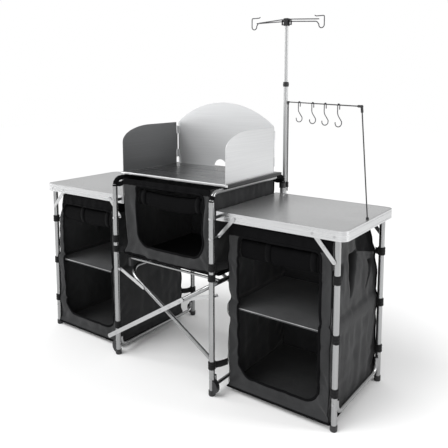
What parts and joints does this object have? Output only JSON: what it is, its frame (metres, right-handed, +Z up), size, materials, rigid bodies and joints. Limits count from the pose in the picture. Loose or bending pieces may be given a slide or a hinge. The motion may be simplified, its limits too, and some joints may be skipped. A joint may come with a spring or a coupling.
{
  "type": "camp kitchen table",
  "caption": "Folding camp kitchen: raised cooktop with windscreen on a scissor stand, two side tables with fabric cupboards, hook rack and lantern pole.",
  "frame": {"origin": "on the floor, midway between the two side tables' ends and midway between the frontmost and rearmost points", "axes": "+X along the kitchen to the right seen from the front, +Y from the front to the back, +Z up"},
  "size_m": [1.75, 0.65, 1.6718],
  "materials": {
    "rim_aluminium": "satin extruded",
    "table_laminate": "smooth semi-gloss laminate",
    "frame_aluminium": "satin anodised tube",
    "flat_bar_aluminium": "satin anodised flat bar",
    "bolt_steel": "zinc plated",
    "black_plastic": "moulded, fine grain",
    "cooktop_aluminium": "brushed along its length",
    "screen_back_aluminium": "fine brushed sheet",
    "screen_left_aluminium": "fine brushed sheet",
    "screen_right_aluminium": "fine brushed sheet",
    "cupboard_fabric": "woven polyester",
    "shelf_board": "fabric-covered board",
    "door_fabric": "rolled woven polyester",
    "strap_webbing": "ribbed webbing",
    "pole_aluminium": "satin anodised tube",
    "hanger_steel": "plated wire",
    "rack_steel": "satin black paint",
    "hook_steel": "dark plated wire"
  },
  "bodies": {
    "stand": {"left_tabletop_rim": "rim_aluminium", "left_tabletop_panel": "table_laminate", "right_tabletop_rim": "rim_aluminium", "right_tabletop_panel": "table_laminate", "tabletop_crossrails": "frame_aluminium", "left_outer_legs": "frame_aluminium", "right_outer_legs": "frame_aluminium", "outer_stretchers": "frame_aluminium", "outer_feet": "black_plastic", "outer_leg_braces": "flat_bar_aluminium", "inner_table_braces": "flat_bar_aluminium", "frame_bolts": "bolt_steel", "left_centre_legs": "frame_aluminium", "right_centre_legs": "frame_aluminium", "left_centre_hoop": "frame_aluminium", "right_centre_hoop": "frame_aluminium", "plastic_spacers": "black_plastic", "centre_stretchers": "frame_aluminium", "foot_side_brackets": "black_plastic", "centre_feet": "black_plastic", "cross_loop_left": "frame_aluminium", "cross_loop_right": "frame_aluminium", "cross_flat_bars": "flat_bar_aluminium", "cross_links": "flat_bar_aluminium", "cross_pins": "bolt_steel", "cupboard_support_rods": "frame_aluminium", "cooktop_planks": "cooktop_aluminium", "cooktop_edge_strips": "black_plastic", "windscreen_back": "screen_back_aluminium", "windscreen_hinge_pins": "bolt_steel", "left_cupboard": "cupboard_fabric", "right_cupboard": "cupboard_fabric", "centre_cupboard": "cupboard_fabric", "left_shelf": "shelf_board", "right_shelf": "shelf_board", "left_floor_board": "shelf_board", "right_floor_board": "shelf_board", "centre_floor_board": "shelf_board", "left_door_roll": "door_fabric", "right_door_roll": "door_fabric", "centre_door_roll": "door_fabric", "leg_straps": "strap_webbing", "lantern_lower_tube": "pole_aluminium", "pole_clips": "black_plastic", "rack_left_post": "rack_steel", "rack_right_post": "rack_steel", "rack_bar": "rack_steel", "rack_fittings": "black_plastic"},
    "lantern_mast": {"lantern_upper_tube": "pole_aluminium"},
    "lantern_head": {"lantern_hub": "black_plastic", "lantern_hanger": "hanger_steel"},
    "lock_collar": {"pole_lock_collar": "black_plastic"},
    "left_wing": {"windscreen_left_wing": "screen_left_aluminium"},
    "right_wing": {"windscreen_right_wing": "screen_right_aluminium"},
    "hook_a": {"hook_1": "hook_steel"},
    "hook_b": {"hook_2": "hook_steel"},
    "hook_c": {"hook_3": "hook_steel"},
    "hook_d": {"hook_4": "hook_steel"}
  },
  "joints": [
    {"name": "lantern_pole_slide", "type": "slide", "parent": "stand", "child": "lantern_mast", "axis": [0, 0, 1], "range_m": [-0.26, 0.15]},
    {"name": "lantern_swivel", "type": "hinge", "parent": "lantern_mast", "child": "lantern_head", "pos_m": [0.3, 0.2995, 1.63], "axis": [0, 0, 1], "continuous": true},
    {"name": "pole_lock_twist", "type": "hinge", "parent": "stand", "child": "lock_collar", "pos_m": [0.3, 0.2995, 1.336], "axis": [0, 0, 1], "range_deg": [0, 60]},
    {"name": "left_wing_fold", "type": "hinge", "parent": "stand", "child": "left_wing", "pos_m": [-0.3095, 0.1815, 1.02], "axis": [0, 0, 1], "range_deg": [-15, 90]},
    {"name": "right_wing_fold", "type": "hinge", "parent": "stand", "child": "right_wing", "pos_m": [0.3095, 0.1765, 1.02], "axis": [0, 0, -1], "range_deg": [-15, 90]},
    {"name": "hook_1_swing", "type": "hinge", "parent": "stand", "child": "hook_a", "pos_m": [0.40975, 0.23762, 1.25], "axis": [0.8368, -0.5476, 0], "range_deg": [-50, 50]},
    {"name": "hook_2_swing", "type": "hinge", "parent": "stand", "child": "hook_b", "pos_m": [0.51602, 0.16808, 1.25], "axis": [0.8368, -0.5476, 0], "range_deg": [-50, 50]},
    {"name": "hook_3_swing", "type": "hinge", "parent": "stand", "child": "hook_c", "pos_m": [0.60639, 0.10895, 1.25], "axis": [0.8368, -0.5476, 0], "range_deg": [-50, 50]},
    {"name": "hook_4_swing", "type": "hinge", "parent": "stand", "child": "hook_d", "pos_m": [0.69593, 0.05035, 1.25], "axis": [0.8368, -0.5476, 0], "range_deg": [-50, 50]}
  ]
}
